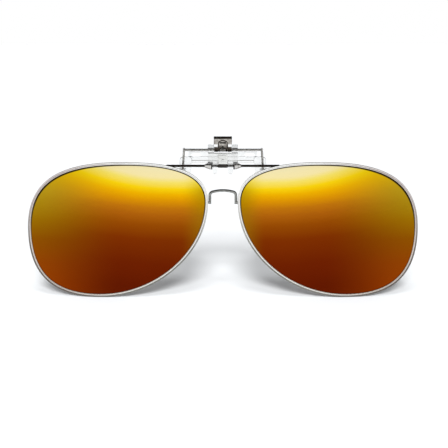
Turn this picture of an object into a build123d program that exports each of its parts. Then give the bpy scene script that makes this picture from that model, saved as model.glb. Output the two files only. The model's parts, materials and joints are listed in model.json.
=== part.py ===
"""Flip-up clip-on sunglasses: a mirrored lens frame that hinges on a clear sprung clip.

The frame is as worn, in millimetres: +Z up, +X to the right as seen from the front, and the front
faces -Y.  x = 0 is the mirror plane, z = 0 is the flip hinge's axis (the brow bar), and y = 0 is
the seat: the back of the front claws, which rests on the front of the wearer's own lenses.
"""

import math
import os

from build123d import *

# ---------------------------------------------------------------- lens outline
lens_width = 63.55
lens_height = 47.4
nose_half_gap = 5.95  # mirror plane to the lens edge line at the nose
lens_rise = 0.7  # lens edge line above the hinge axis, at the top
top_share = 0.459  # where the highest point is, from the nose side, as a share of the width
bottom_share = 0.613  # where the lowest point is
temple_share = 0.49  # how far down the widest point is, as a share of the height
nose_share = 0.288  # how far down the point nearest the nose is
fullness_top_outer = 0.689  # length of a quarter's curve handles as a share of its span
fullness_low_outer = 0.682
fullness_low_inner = 0.531
fullness_top_inner = 0.678

# ---------------------------------------------------------------- lens and rim sections
lens_curve_radius = 132.0  # front surface, a base 4 curve
face_form_angle = 4.0  # each lens turned back at the temple, in degrees
lens_thickness = 1.1
lens_edge_depth = 0.05  # the cut lens stands this far outside the edge line
groove_clearance = 0.06
rim_reach = 0.7  # rim outside the edge line
rim_lip = 0.4  # rim inside the edge line
rim_proud = 0.35  # rim in front of and behind the lens surfaces

# ---------------------------------------------------------------- hinge and bridge
hinge_y = -4.5
bar_diameter = 0.9
running_clearance = 0.05  # radial, for every shaft that turns in a bore
cam_half_length = 1.7
cam_wall = 0.2  # least metal between the bar and a flat
cam_corner = 0.25
collar_radius = 1.3
collar_inner_end = 3.75
collar_shoulder = 4.7  # where the cone starts
collar_tip = 6.5
collar_lip = 0.12  # wall left at the cone's tip
bridge_wire_diameter = 1.0
bridge_gap_to_rim = 0.1
bridge_rise = 4.45  # crown of the arch above the rims' nose points
bridge_drop = 1.0  # shoulder of the arch below its crown
bridge_bend_radius = 1.3
bridge_crown_radius = 14.0
foot_height = 0.96
foot_depth = 1.1
foot_below_nose = 0.7  # bottom of the foot below the rim's nose point

# ---------------------------------------------------------------- clear housing
housing_half_width = 5.35
housing_front_wall = 0.6
collar_pocket_clearance = 0.25
skirt_z = 0.55
deck_clearance = 0.225  # deck below the levers' rings
lug_half_gap = 1.95
lug_width = 1.65
lug_bottom_z = -2.9
lug_depth = 2.4
lug_round = 0.6
pocket_half_width = 1.85
pocket_top_z = 4.1
leaf_seat_depth = 1.05  # depth of the front pocket
ear_half_gap = 3.2
ear_radius = 1.9
ear_round = 0.5

# ---------------------------------------------------------------- detent leaf and its rivet
leaf_thickness = 0.25
leaf_half_width = 1.6
leaf_top_z = 3.9
leaf_reach = 0.8  # tongue past the hinge axis
leaf_gap = 0.03  # tongue above the cam's flat
rivet_z = 2.0
rivet_head_radius = 0.5
rivet_head_height = 0.35
rivet_shank_radius = 0.25
rivet_grip = 0.9  # shank inside the housing

# ---------------------------------------------------------------- front jaw
jaw_front_y = -2.2
web_thickness = 1.0
rail_back_y = -0.4
wing_half_width = 12.3
wing_bottom_z = 0.8
wing_clearance = 0.225  # wings below the jaw wire
rail_bottom_z = 1.7
rail_top_z = 3.0
window_inner_x = 7.8
window_outer_x = 11.4
window_top_z = 4.4
window_round = 0.6
claw_inner_x = 11.0
claw_outer_x = 15.5
claw_taper = 1.1  # how far the inner edge runs outwards towards the tip
claw_top_z = 3.0
claw_tip_z = -9.0
claw_round = 1.2

# ---------------------------------------------------------------- jaw wire, sleeves and levers
wire_diameter = 0.85
pivot_y = -2.3
pivot_z = 5.55
wire_corner_x = 14.0
wire_foot_x = 14.9
wire_bend_radius = 1.2
lens_gap = 2.2  # between the claws and the sleeves with the jaw closed
wire_end_z = -10.0
sleeve_radius = 1.1
sleeve_top_z = -1.5
sleeve_end = 1.0  # sleeve past the wire's end
sleeve_round = 0.7
sheet_thickness = 0.25
spring_gap = 0.03  # between the spring and each lever's sheet
knuckle_wall = 0.25
front_lean = 6.0
rear_lean = 16.0
lever_height = 5.05
rear_lever_height = 4.5
bead_radius = 0.45
head_half_width = 3.26
head_foot = 2.15  # underside of the head, up the sheet from the pivot
neck_half_width = 1.86
foot_inner_x = 1.7
foot_outer_x = 3.15
foot_top = 1.25
foot_drop = 0.55  # feet below the pivot
notch_half_width = 0.95
notch_top = 0.75
apron_foot = 0.35
slot_half_width = 1.2
slot_foot = 2.45
slot_height = 0.5
eye_radius = 0.5
eye_foot = 1.05
arch_radius = 0.17
arch_half_width = 1.55
arch_foot = 0.95
arch_shoulder = 3.0
arch_top = 3.8
rear_head_half_width = 2.7
crimp_inner_x = 1.0
crimp_outer_x = 1.6
spring_wire_diameter = 0.2
spring_clearance = 0.075  # inside the coil, round the jaw wire
spring_pitch = 0.3
spring_turns = 2
spring_leg = 2.6

# ---------------------------------------------------------------- places worked out from the above
bar_radius = bar_diameter / 2
wire_radius = wire_diameter / 2
bridge_radius = bridge_wire_diameter / 2
spring_radius = spring_wire_diameter / 2
cam_side = bar_diameter + 2 * cam_wall
front_bore = wire_radius + running_clearance
deck_z = pivot_z - front_bore - knuckle_wall - deck_clearance
wing_top_z = pivot_z - wire_radius - wing_clearance
spring_coil_radius = wire_radius + spring_clearance + spring_radius
sheet_offset = spring_coil_radius + spring_radius + spring_gap  # pivot to each sheet's inner face
lens_middle_x = nose_half_gap + lens_width / 2
lens_middle_z = lens_rise - lens_height / 2
nose_z = lens_rise - nose_share * lens_height
temple_z = lens_rise - temple_share * lens_height
leg_y = lens_gap + sleeve_radius
cut_depth = 40.0  # long enough to pass through the curved frame


def outline_quarters(extra):
    """Four cubic quarters of a lens outline, its extremes pushed outwards by extra."""
    top = (nose_half_gap + top_share * lens_width, lens_rise + extra)
    temple = (nose_half_gap + lens_width + extra, temple_z)
    bottom = (nose_half_gap + bottom_share * lens_width, lens_rise - lens_height - extra)
    nose = (nose_half_gap - extra, nose_z)
    corners = [
        (top, temple, fullness_top_outer),
        (bottom, temple, fullness_low_outer),
        (bottom, nose, fullness_low_inner),
        (top, nose, fullness_top_inner),
    ]
    quarters = []
    for flat, upright, fullness in corners:
        along_flat = (flat[0] + fullness * (upright[0] - flat[0]), flat[1])
        along_upright = (upright[0], upright[1] + fullness * (flat[1] - upright[1]))
        quarters.append([flat, along_flat, along_upright, upright])
    return quarters


def outline_x_at(z, extra):
    """Where the outline's nose-to-top quarter passes height z."""
    flat, along_flat, along_upright, upright = outline_quarters(extra)[3]
    low, high = 0.0, 1.0
    for _ in range(40):
        t = (low + high) / 2
        weights = [(1 - t) ** 3, 3 * t * (1 - t) ** 2, 3 * t * t * (1 - t), t**3]
        points = [flat, along_flat, along_upright, upright]
        x_here = sum(w * p[0] for w, p in zip(weights, points))
        z_here = sum(w * p[1] for w, p in zip(weights, points))
        if z_here > z:
            low = t
        else:
            high = t
    return x_here


def lens_prism(extra, side, mode=Mode.ADD):
    """A straight prism of the lens outline through the frame, in the part being built."""
    with BuildSketch(Plane.XZ) as outline:
        with BuildLine():
            for quarter in outline_quarters(extra):
                Bezier(*[(side * x, z) for x, z in quarter])
        make_face()
    extrude(outline.sketch, amount=cut_depth, both=True, mode=mode)


# The rim's middle surface passes through the brow bar where the two meet.
mid_radius = lens_curve_radius - lens_thickness / 2
join_x = outline_x_at(0, rim_reach)
sphere_x = lens_middle_x - mid_radius * math.sin(math.radians(face_form_angle))


def dome_depth(x, z):
    """Distance from the lens sphere's centre plane to its middle surface at x, z."""
    return math.sqrt(mid_radius**2 - (x - sphere_x) ** 2 - (z - lens_middle_z) ** 2)


sphere_y = hinge_y + dome_depth(join_x, 0)
bridge_y = sphere_y - dome_depth(nose_half_gap, nose_z)


def curved_shell(outer_radius, inner_radius):
    """Keep only what lies between two spheres about the right lens's centre of curvature."""
    with Locations((sphere_x, sphere_y, lens_middle_z)):
        Sphere(outer_radius, mode=Mode.INTERSECT)
        Sphere(inner_radius, mode=Mode.SUBTRACT)


def x_rod(radius, x_from, x_to, y, z, mode=Mode.ADD):
    """A round rod or bore along X, in the part being built."""
    with BuildSketch(Plane.YZ.offset(x_from)) as section:
        with Locations((y, z)):
            Circle(radius)
    extrude(section.sketch, amount=x_to - x_from, mode=mode)


def block(x_span, y_span, z_span, mode=Mode.ADD):
    """A rectangular block between the given limits, in the part being built."""
    middle = tuple((low + high) / 2 for low, high in (x_span, y_span, z_span))
    size = [high - low for low, high in (x_span, y_span, z_span)]
    with Locations(middle):
        Box(*size, mode=mode)


os.makedirs("parts", exist_ok=True)
finished = {}


def finish(name, built):
    """Label a finished piece and keep it for export."""
    built.part.label = name
    finished[name] = built.part


# ================================================================ lens frame
# ---- lenses: thin curved discs of one thickness
with BuildPart() as lens_right:
    lens_prism(lens_edge_depth, 1)
    curved_shell(lens_curve_radius, lens_curve_radius - lens_thickness)
finish("lens_right", lens_right)

with BuildPart() as lens_left:
    mirror(lens_right.part, about=Plane.YZ)
finish("lens_left", lens_left)

# ---- rims: a curved band round each lens, with a groove inside for the lens's edge
with BuildPart() as groove:
    lens_prism(lens_edge_depth + groove_clearance, 1)
    curved_shell(
        lens_curve_radius + groove_clearance,
        lens_curve_radius - lens_thickness - groove_clearance,
    )

with BuildPart() as rim_right:
    lens_prism(rim_reach, 1)
    lens_prism(-rim_lip, 1, Mode.SUBTRACT)
    curved_shell(lens_curve_radius + rim_proud, lens_curve_radius - lens_thickness - rim_proud)
    add(groove.part, mode=Mode.SUBTRACT)
finish("rim_right", rim_right)

with BuildPart() as rim_left:
    mirror(rim_right.part, about=Plane.YZ)
finish("rim_left", rim_left)

# ---- bridge wire: one bent wire, its legs beside the rims' nose points
leg_x = nose_half_gap - rim_reach - bridge_gap_to_rim - bridge_radius
foot_bottom_z = nose_z - foot_below_nose
foot_top_z = foot_bottom_z + foot_height
crown_z = nose_z + bridge_rise
shoulder_z = crown_z - bridge_drop

with BuildPart() as bridge_wire:
    with BuildLine(Plane.XZ.offset(-bridge_y)) as bridge_path:
        FilletPolyline(
            (-leg_x, foot_top_z),
            (-leg_x, shoulder_z),
            (0, crown_z),
            (leg_x, shoulder_z),
            (leg_x, foot_top_z),
            radius=[bridge_bend_radius, bridge_crown_radius, bridge_bend_radius],
        )
    with BuildSketch(Plane(origin=bridge_path.line @ 0, z_dir=bridge_path.line % 0)):
        Circle(bridge_radius)
    sweep()
finish("bridge_wire", bridge_wire)

# ---- brazed feet under the bridge wire's ends, coped to the rims
with BuildPart() as bridge_foot_right:
    block(
        (leg_x - bridge_radius, nose_half_gap),
        (bridge_y - foot_depth / 2, bridge_y + foot_depth / 2),
        (foot_bottom_z, foot_top_z),
    )
    lens_prism(rim_reach, 1, Mode.SUBTRACT)
finish("bridge_foot_right", bridge_foot_right)

with BuildPart() as bridge_foot_left:
    mirror(bridge_foot_right.part, about=Plane.YZ)
finish("bridge_foot_left", bridge_foot_left)

# ---- brow bar: the hinge's axle, its ends coped to lie on top of the rims
bar_end = outline_x_at(bar_radius / 2, rim_reach)

with BuildPart() as brow_bar:
    x_rod(bar_radius, -bar_end, bar_end, hinge_y, 0)
    for side in (-1, 1):
        lens_prism(rim_reach, side, Mode.SUBTRACT)
finish("brow_bar", brow_bar)

# ---- conical collars: they keep the clip from sliding along the bar
with BuildPart() as hinge_collar_right:
    with BuildSketch(Plane.XZ.offset(-hinge_y)):
        with BuildLine():
            Polyline(
                (collar_inner_end, bar_radius),
                (collar_inner_end, collar_radius),
                (collar_shoulder, collar_radius),
                (collar_tip, bar_radius + collar_lip),
                (collar_tip, bar_radius),
                close=True,
            )
        make_face()
    revolve(axis=Axis((0, hinge_y, 0), (1, 0, 0)))
finish("hinge_collar_right", hinge_collar_right)

with BuildPart() as hinge_collar_left:
    mirror(hinge_collar_right.part, about=Plane.YZ)
finish("hinge_collar_left", hinge_collar_left)

# ---- square cam on the bar: its flats hold the lenses down or up
with BuildPart() as hinge_cam:
    with BuildSketch(Plane.YZ.offset(-cam_half_length)):
        with Locations((hinge_y, 0)):
            RectangleRounded(cam_side, cam_side, cam_corner)
            Circle(bar_radius, mode=Mode.SUBTRACT)
    extrude(amount=2 * cam_half_length)
finish("hinge_cam", hinge_cam)

# ================================================================ clip
# ---- clear housing: a cover over the axle, two lugs that carry it, two ears for the jaw wire
pocket_radius = collar_radius + collar_pocket_clearance
housing_front_y = hinge_y - pocket_radius - housing_front_wall
leaf_seat_y = housing_front_y + leaf_seat_depth
lug_outer_x = lug_half_gap + lug_width
lug_overlap = 0.3  # lug carried up into the housing

with BuildPart() as clip_housing:
    block(
        (-housing_half_width, housing_half_width),
        (housing_front_y, jaw_front_y),
        (skirt_z, deck_z),
    )
    for ear_start in (-housing_half_width, ear_half_gap):
        with BuildSketch(Plane.YZ.offset(ear_start)):
            with Locations((pivot_y, pivot_z)):
                Circle(ear_radius)
                Rectangle(2 * ear_radius, 2 * ear_radius, align=(Align.CENTER, Align.MAX))
            with Locations((pivot_y, deck_z)):
                Rectangle(4 * ear_radius, 2 * ear_radius, align=(Align.CENTER, Align.MAX), mode=Mode.SUBTRACT)
        extrude(amount=housing_half_width - ear_half_gap)
    x_rod(pocket_radius, -housing_half_width, housing_half_width, hinge_y, 0, Mode.SUBTRACT)
    block(
        (-pocket_half_width, pocket_half_width),
        (housing_front_y, leaf_seat_y),
        (skirt_z, pocket_top_z),
        Mode.SUBTRACT,
    )
    for lug_start in (-lug_outer_x, lug_half_gap):
        block(
            (lug_start, lug_start + lug_width),
            (hinge_y - lug_depth / 2, hinge_y + lug_depth / 2),
            (lug_bottom_z, pocket_radius + lug_overlap),
        )
    fillet(clip_housing.edges().filter_by(Axis.Y).group_by(Axis.Z)[0], lug_round)
    x_rod(bar_radius + running_clearance, -lug_outer_x, lug_outer_x, hinge_y, 0, Mode.SUBTRACT)
    x_rod(
        wire_radius + running_clearance,
        -housing_half_width,
        housing_half_width,
        pivot_y,
        pivot_z,
        Mode.SUBTRACT,
    )
    with BuildSketch(Plane.XZ.offset(-leaf_seat_y)):
        with Locations((0, rivet_z)):
            Circle(rivet_shank_radius)
    extrude(amount=-rivet_grip, mode=Mode.SUBTRACT)
finish("clip_housing", clip_housing)

# ---- detent leaf: a bent strip whose tongue bears on the cam
tongue_z = cam_side / 2 + leaf_gap
leaf_front_y = leaf_seat_y - leaf_thickness

with BuildPart() as detent_leaf:
    with BuildSketch(Plane.YZ.offset(-leaf_half_width)):
        with BuildLine():
            Polyline(
                (leaf_front_y, leaf_top_z),
                (leaf_seat_y, leaf_top_z),
                (leaf_seat_y, tongue_z + leaf_thickness),
                (hinge_y + leaf_reach, tongue_z + leaf_thickness),
                (hinge_y + leaf_reach, tongue_z),
                (leaf_front_y, tongue_z),
                close=True,
            )
        make_face()
    extrude(amount=2 * leaf_half_width)
    fillet(detent_leaf.edges().filter_by(Axis.X).group_by(Axis.Z)[0].sort_by(Axis.Y)[0], leaf_thickness)
    with BuildSketch(Plane.XZ.offset(-leaf_seat_y)):
        with Locations((0, rivet_z)):
            Circle(rivet_shank_radius + running_clearance)
    extrude(amount=leaf_thickness, mode=Mode.SUBTRACT)
finish("detent_leaf", detent_leaf)

# ---- rivet: holds the leaf to the housing
with BuildPart() as leaf_rivet:
    with BuildSketch(Plane.XZ.offset(-leaf_front_y)):
        with Locations((0, rivet_z)):
            Circle(rivet_head_radius)
    extrude(amount=rivet_head_height)
    fillet(leaf_rivet.edges().filter_by(GeomType.CIRCLE).sort_by(Axis.Y)[0], rivet_head_height / 2)
    with BuildSketch(Plane.XZ.offset(-leaf_front_y)):
        with Locations((0, rivet_z)):
            Circle(rivet_shank_radius)
    extrude(amount=-(leaf_thickness + rivet_grip))
finish("leaf_rivet", leaf_rivet)

# ---- clear front jaw: a thin web with windows, a stiff rail and two claws, welded to the housing
centre_top_z = deck_z - running_clearance
front_jaw_plane = Plane.XZ.offset(-jaw_front_y)

with BuildPart() as front_jaw:
    with BuildSketch(front_jaw_plane):
        for side in (-1, 1):
            wing_inner = housing_half_width + running_clearance
            wing_width = wing_half_width - wing_inner
            with Locations((side * (wing_inner + wing_width / 2), (wing_bottom_z + wing_top_z) / 2)):
                Rectangle(wing_width, wing_top_z - wing_bottom_z)
        with Locations((0, (wing_bottom_z + centre_top_z) / 2)):
            Rectangle(2 * (wing_inner + window_round), centre_top_z - wing_bottom_z)
        for side in (-1, 1):
            window_x = side * (window_inner_x + window_outer_x) / 2
            with Locations((window_x, (rail_top_z + window_top_z) / 2)):
                RectangleRounded(
                    window_outer_x - window_inner_x,
                    window_top_z - rail_top_z,
                    window_round,
                    mode=Mode.SUBTRACT,
                )
    extrude(amount=-web_thickness)
    block((-wing_half_width, wing_half_width), (jaw_front_y, rail_back_y), (rail_bottom_z, rail_top_z))
    for side in (-1, 1):
        with BuildSketch(front_jaw_plane) as claw:
            with BuildLine():
                Polyline(
                    (side * claw_inner_x, claw_top_z),
                    (side * claw_outer_x, claw_top_z),
                    (side * claw_outer_x, claw_tip_z),
                    (side * (claw_inner_x + claw_taper), claw_tip_z),
                    close=True,
                )
            make_face()
            fillet(claw.vertices(), claw_round)
        extrude(amount=jaw_front_y)
finish("front_jaw", front_jaw)


# ---- finger levers: stamped sheet, rolled at the top and wrapped round the jaw wire at the foot
def lever_plane(lean):
    """Plane through the jaw pivot, its normal forwards and its y up the lever; lean in degrees."""
    tilt = math.radians(lean)
    return Plane(
        origin=(0, pivot_y, pivot_z),
        x_dir=(1, 0, 0),
        z_dir=(0, -math.cos(tilt), -math.sin(tilt)),
    )


def rolled_bead(plane, half_width, height, distance):
    """The rolled top edge of a lever, at a distance in front of the pivot."""
    start = plane.origin - half_width * plane.x_dir
    middle = start + (height - bead_radius) * plane.y_dir + distance * plane.z_dir
    with BuildSketch(Plane(origin=middle, z_dir=plane.x_dir)) as section:
        Circle(bead_radius)
    extrude(section.sketch, amount=2 * half_width)


def knuckle(plane, x_from, x_to, bore, towards):
    """A ring round the jaw wire with a web that joins it to the lever's sheet."""
    x_rod(bore + knuckle_wall, x_from, x_to, pivot_y, pivot_z)
    with BuildSketch(plane) as web:
        with Locations(((x_from + x_to) / 2, 0)):
            Rectangle(x_to - x_from, 2 * bore)
    extrude(web.sketch, amount=towards * (sheet_offset + sheet_thickness / 2))
    x_rod(bore, x_from, x_to, pivot_y, pivot_z, Mode.SUBTRACT)


front_plane = lever_plane(front_lean)
rear_plane = lever_plane(-rear_lean)
half_outline = [
    (notch_half_width, notch_top),
    (notch_half_width, apron_foot),
    (foot_inner_x, apron_foot),
    (foot_inner_x, -foot_drop),
    (foot_outer_x, -foot_drop),
    (foot_outer_x, foot_top),
    (neck_half_width, foot_top),
    (neck_half_width, head_foot),
    (head_half_width, head_foot),
    (head_half_width, lever_height - bead_radius),
]

with BuildPart() as front_lever:
    with BuildSketch(front_plane.offset(sheet_offset)):
        with BuildLine():
            Polyline(*half_outline, *[(-x, y) for x, y in reversed(half_outline)], close=True)
        make_face()
        with Locations((0, slot_foot + slot_height / 2)):
            RectangleRounded(2 * slot_half_width, slot_height, slot_height / 3, mode=Mode.SUBTRACT)
        with Locations((0, eye_foot)):
            Circle(eye_radius, mode=Mode.SUBTRACT)
    extrude(amount=sheet_thickness)
    rolled_bead(front_plane, head_half_width, lever_height, sheet_offset + sheet_thickness / 2)
    with BuildLine(front_plane.offset(sheet_offset + sheet_thickness)) as arch_path:
        FilletPolyline(
            (-arch_half_width, arch_foot),
            (-arch_half_width, arch_shoulder),
            (0, arch_top),
            (arch_half_width, arch_shoulder),
            (arch_half_width, arch_foot),
            radius=[3 * arch_radius, 6 * arch_radius, 3 * arch_radius],
        )
    with BuildSketch(Plane(origin=arch_path.line @ 0, z_dir=arch_path.line % 0)):
        Circle(arch_radius)
    sweep()
    for x_from, x_to in ((-foot_outer_x, -foot_inner_x), (foot_inner_x, foot_outer_x)):
        knuckle(front_plane, x_from, x_to, front_bore, 1)
finish("front_lever", front_lever)

rear_half_outline = [
    (crimp_outer_x, -wire_radius),
    (crimp_outer_x, head_foot),
    (rear_head_half_width, head_foot),
    (rear_head_half_width, rear_lever_height - bead_radius),
]

with BuildPart() as rear_lever:
    with BuildSketch(rear_plane.offset(-sheet_offset)):
        with BuildLine():
            Polyline(*rear_half_outline, *[(-x, y) for x, y in reversed(rear_half_outline)], close=True)
        make_face()
    extrude(amount=-sheet_thickness)
    rolled_bead(rear_plane, rear_head_half_width, rear_lever_height, -sheet_offset - sheet_thickness / 2)
    for x_from, x_to in ((-crimp_outer_x, -crimp_inner_x), (crimp_inner_x, crimp_outer_x)):
        knuckle(rear_plane, x_from, x_to, wire_radius, -1)
finish("rear_lever", rear_lever)

# ---- jaw wire: one piece, its straight run on the pivot, its legs behind the wearer's lenses
with BuildPart() as jaw_wire:
    with BuildLine() as wire_path:
        FilletPolyline(
            (-wire_foot_x, leg_y, wire_end_z),
            (-wire_corner_x, leg_y, pivot_z),
            (-wire_corner_x, pivot_y, pivot_z),
            (wire_corner_x, pivot_y, pivot_z),
            (wire_corner_x, leg_y, pivot_z),
            (wire_foot_x, leg_y, wire_end_z),
            radius=wire_bend_radius,
        )
    with BuildSketch(Plane(origin=wire_path.line @ 0, z_dir=wire_path.line % 0)):
        Circle(wire_radius)
    sweep()
finish("jaw_wire", jaw_wire)

# ---- soft sleeves on the wire's legs
leg_foot = Vector(wire_foot_x, leg_y, wire_end_z)
leg_rise = (Vector(wire_corner_x, leg_y, pivot_z) - leg_foot).normalized()
sleeve_length = (sleeve_top_z - wire_end_z) / leg_rise.Z

with BuildPart() as jaw_sleeve_right:
    with BuildSketch(Plane(origin=leg_foot - sleeve_end * leg_rise, z_dir=leg_rise)):
        Circle(sleeve_radius)
    extrude(amount=sleeve_length + sleeve_end)
    fillet(jaw_sleeve_right.edges().filter_by(GeomType.CIRCLE).sort_by(Axis.Z)[0], sleeve_round)
    with BuildSketch(Plane(origin=leg_foot, z_dir=leg_rise)):
        Circle(wire_radius)
    extrude(amount=sleeve_length, mode=Mode.SUBTRACT)
finish("jaw_sleeve_right", jaw_sleeve_right)

with BuildPart() as jaw_sleeve_left:
    mirror(jaw_sleeve_right.part, about=Plane.YZ)
finish("jaw_sleeve_left", jaw_sleeve_left)

# ---- torsion spring: a coil round the jaw wire with one leg up each lever
sweep_angle = 360 * spring_turns + 180 - front_lean - rear_lean
coil_length = spring_pitch * sweep_angle / 360
front_tilt = math.radians(front_lean)
rear_tilt = math.radians(rear_lean)
coil_start = Vector(-coil_length / 2, pivot_y, pivot_z)
front_out = Vector(0, -math.cos(front_tilt), -math.sin(front_tilt))
front_up = Vector(0, -math.sin(front_tilt), math.cos(front_tilt))
rear_out = Vector(0, math.cos(rear_tilt), -math.sin(rear_tilt))
rear_up = Vector(0, math.sin(rear_tilt), math.cos(rear_tilt))
front_touch = coil_start + spring_coil_radius * front_out
rear_touch = coil_start + Vector(coil_length, 0, 0) + spring_coil_radius * rear_out
coil_plane = Plane(origin=coil_start, x_dir=front_out, z_dir=(1, 0, 0))
coil_path = coil_plane.from_local_coords(Helix(spring_pitch, coil_length, spring_coil_radius))

with BuildPart() as torsion_spring:
    with BuildSketch(Plane(origin=coil_path @ 0, z_dir=coil_path % 0)):
        Circle(spring_radius)
    sweep(path=coil_path, is_frenet=True)
    for touch, up in ((front_touch, front_up), (rear_touch, rear_up)):
        with BuildSketch(Plane(origin=touch, z_dir=up)):
            Circle(spring_radius)
        extrude(amount=spring_leg)
        with Locations(touch):
            Sphere(spring_radius)
finish("torsion_spring", torsion_spring)

for name, part in finished.items():
    export_step(part, f"parts/{name}.step")
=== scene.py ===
import json
import math

import bmesh
import bpy
import numpy as np
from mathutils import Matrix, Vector


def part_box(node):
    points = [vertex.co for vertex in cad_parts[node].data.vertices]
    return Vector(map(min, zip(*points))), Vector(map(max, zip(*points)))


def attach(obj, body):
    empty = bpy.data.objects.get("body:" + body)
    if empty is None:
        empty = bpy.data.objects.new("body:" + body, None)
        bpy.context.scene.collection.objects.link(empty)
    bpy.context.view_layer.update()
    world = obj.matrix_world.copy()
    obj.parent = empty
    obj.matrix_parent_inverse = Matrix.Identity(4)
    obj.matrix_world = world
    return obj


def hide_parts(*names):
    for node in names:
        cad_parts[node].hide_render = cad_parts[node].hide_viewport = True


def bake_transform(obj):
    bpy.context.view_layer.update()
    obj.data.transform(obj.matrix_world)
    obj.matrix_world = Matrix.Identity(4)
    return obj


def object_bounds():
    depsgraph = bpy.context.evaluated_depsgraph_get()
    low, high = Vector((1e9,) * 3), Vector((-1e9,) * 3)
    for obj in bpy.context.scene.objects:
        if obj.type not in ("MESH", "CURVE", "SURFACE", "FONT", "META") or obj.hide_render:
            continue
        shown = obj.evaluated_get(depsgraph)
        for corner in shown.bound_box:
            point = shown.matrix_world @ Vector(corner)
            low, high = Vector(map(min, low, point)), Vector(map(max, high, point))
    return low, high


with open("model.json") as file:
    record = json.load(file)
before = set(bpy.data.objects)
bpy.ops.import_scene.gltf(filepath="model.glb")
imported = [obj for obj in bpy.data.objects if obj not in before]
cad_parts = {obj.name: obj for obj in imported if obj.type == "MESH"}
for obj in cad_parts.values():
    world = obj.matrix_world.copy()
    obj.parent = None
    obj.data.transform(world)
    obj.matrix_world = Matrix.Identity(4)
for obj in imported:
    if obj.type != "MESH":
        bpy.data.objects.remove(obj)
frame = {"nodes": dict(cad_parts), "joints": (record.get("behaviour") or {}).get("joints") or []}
cad_box = [Vector(corner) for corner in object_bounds()]

# ================================================================ table, booth, lamps and camera
# The glasses stand on their rims' lower edges on a white table, in a booth that is white at eye level
# and dark overhead, so that polished metal has something dark to show.  Two lamps in front throw soft
# shadows back along the table, and a weak one overhead lifts them.
mm = 0.001
table_half_size = 3.0
booth_white = 1.0
booth_ceiling = 0.06
booth_turn = (0.25, 0.52)  # steepness of the direction at which white ends and dark begins
camera_distance = 0.70
camera_rise = math.radians(7.0)
picture_width = 161.5 * mm  # what the camera takes in at the lenses
sensor_width = 36.0
near_clip = 0.01
aim = Vector((0.4 * mm, 0.0, -21.45 * mm))


def new_object(name, data):
    """An object at the origin, linked into the scene."""
    made = bpy.data.objects.new(name, data)
    bpy.context.scene.collection.objects.link(made)
    return made


def linear(red, green, blue):
    """A display colour, 0 to 255, as the linear colour that a shader takes."""
    shares = [channel / 255 for channel in (red, green, blue)]
    return tuple(s / 12.92 if s <= 0.04045 else ((s + 0.055) / 1.055) ** 2.4 for s in shares) + (1.0,)


def finish_material(name, colours, roughness, grain, relief, settings, stretch=(1, 1, 1)):
    """A finish that wanders between two colours and two roughnesses, with a fine raised grain."""
    noise_low, noise_high = 0.35, 0.65
    grain_detail = 4.0
    bump_strength = 0.4
    material = bpy.data.materials.new(name)
    material.use_nodes = True
    nodes = material.node_tree.nodes
    link = material.node_tree.links.new
    shader = nodes["Principled BSDF"]
    place = nodes.new("ShaderNodeTexCoord")
    mapping = nodes.new("ShaderNodeMapping")
    mapping.inputs["Scale"].default_value = stretch
    noise = nodes.new("ShaderNodeTexNoise")
    noise.inputs["Scale"].default_value = grain
    noise.inputs["Detail"].default_value = grain_detail
    tones = nodes.new("ShaderNodeValToRGB")
    tones.color_ramp.elements[0].position = noise_low
    tones.color_ramp.elements[0].color = colours[0]
    tones.color_ramp.elements[1].position = noise_high
    tones.color_ramp.elements[1].color = colours[1]
    sheen = nodes.new("ShaderNodeMapRange")
    sheen.inputs["From Min"].default_value = noise_low
    sheen.inputs["From Max"].default_value = noise_high
    sheen.inputs["To Min"].default_value = roughness[0]
    sheen.inputs["To Max"].default_value = roughness[1]
    bump = nodes.new("ShaderNodeBump")
    bump.inputs["Strength"].default_value = bump_strength
    bump.inputs["Distance"].default_value = relief
    link(place.outputs["Object"], mapping.inputs["Vector"])
    link(mapping.outputs["Vector"], noise.inputs["Vector"])
    link(noise.outputs["Fac"], tones.inputs["Fac"])
    link(tones.outputs["Color"], shader.inputs["Base Color"])
    link(noise.outputs["Fac"], sheen.inputs["Value"])
    link(sheen.outputs["Result"], shader.inputs["Roughness"])
    link(noise.outputs["Fac"], bump.inputs["Height"])
    link(bump.outputs["Normal"], shader.inputs["Normal"])
    for socket, value in settings.items():
        shader.inputs[socket].default_value = value
    return material


table_z = cad_box[0].z
table_mesh = bpy.data.meshes.new("table")
table_corners = [(-1, -1), (1, -1), (1, 1), (-1, 1)]
table_mesh.from_pydata(
    [(x * table_half_size, y * table_half_size, table_z) for x, y in table_corners], [], [(0, 1, 2, 3)]
)
table = new_object("table", table_mesh)
table_mesh.materials.append(
    finish_material(
        "table_laminate",
        colours=(linear(204, 206, 208), linear(207, 209, 211)),
        roughness=(0.6, 0.7),
        grain=8.0,
        relief=0.0,
        settings={"Specular IOR Level": 0.1},
    )
)

booth = bpy.data.worlds.new("booth")
bpy.context.scene.world = booth
booth.use_nodes = True
booth_nodes = booth.node_tree.nodes
booth_link = booth.node_tree.links.new
direction = booth_nodes.new("ShaderNodeTexCoord")
split_direction = booth_nodes.new("ShaderNodeSeparateXYZ")
booth_tones = booth_nodes.new("ShaderNodeValToRGB")
booth_tones.color_ramp.elements[0].position = booth_turn[0]
booth_tones.color_ramp.elements[0].color = (booth_white, booth_white, booth_white, 1)
booth_tones.color_ramp.elements[1].position = booth_turn[1]
booth_tones.color_ramp.elements[1].color = (booth_ceiling, booth_ceiling, booth_ceiling, 1)
booth_link(direction.outputs["Generated"], split_direction.inputs["Vector"])
booth_link(split_direction.outputs["Z"], booth_tones.inputs["Fac"])
booth_link(booth_tones.outputs["Color"], booth_nodes["Background"].inputs["Color"])


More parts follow.
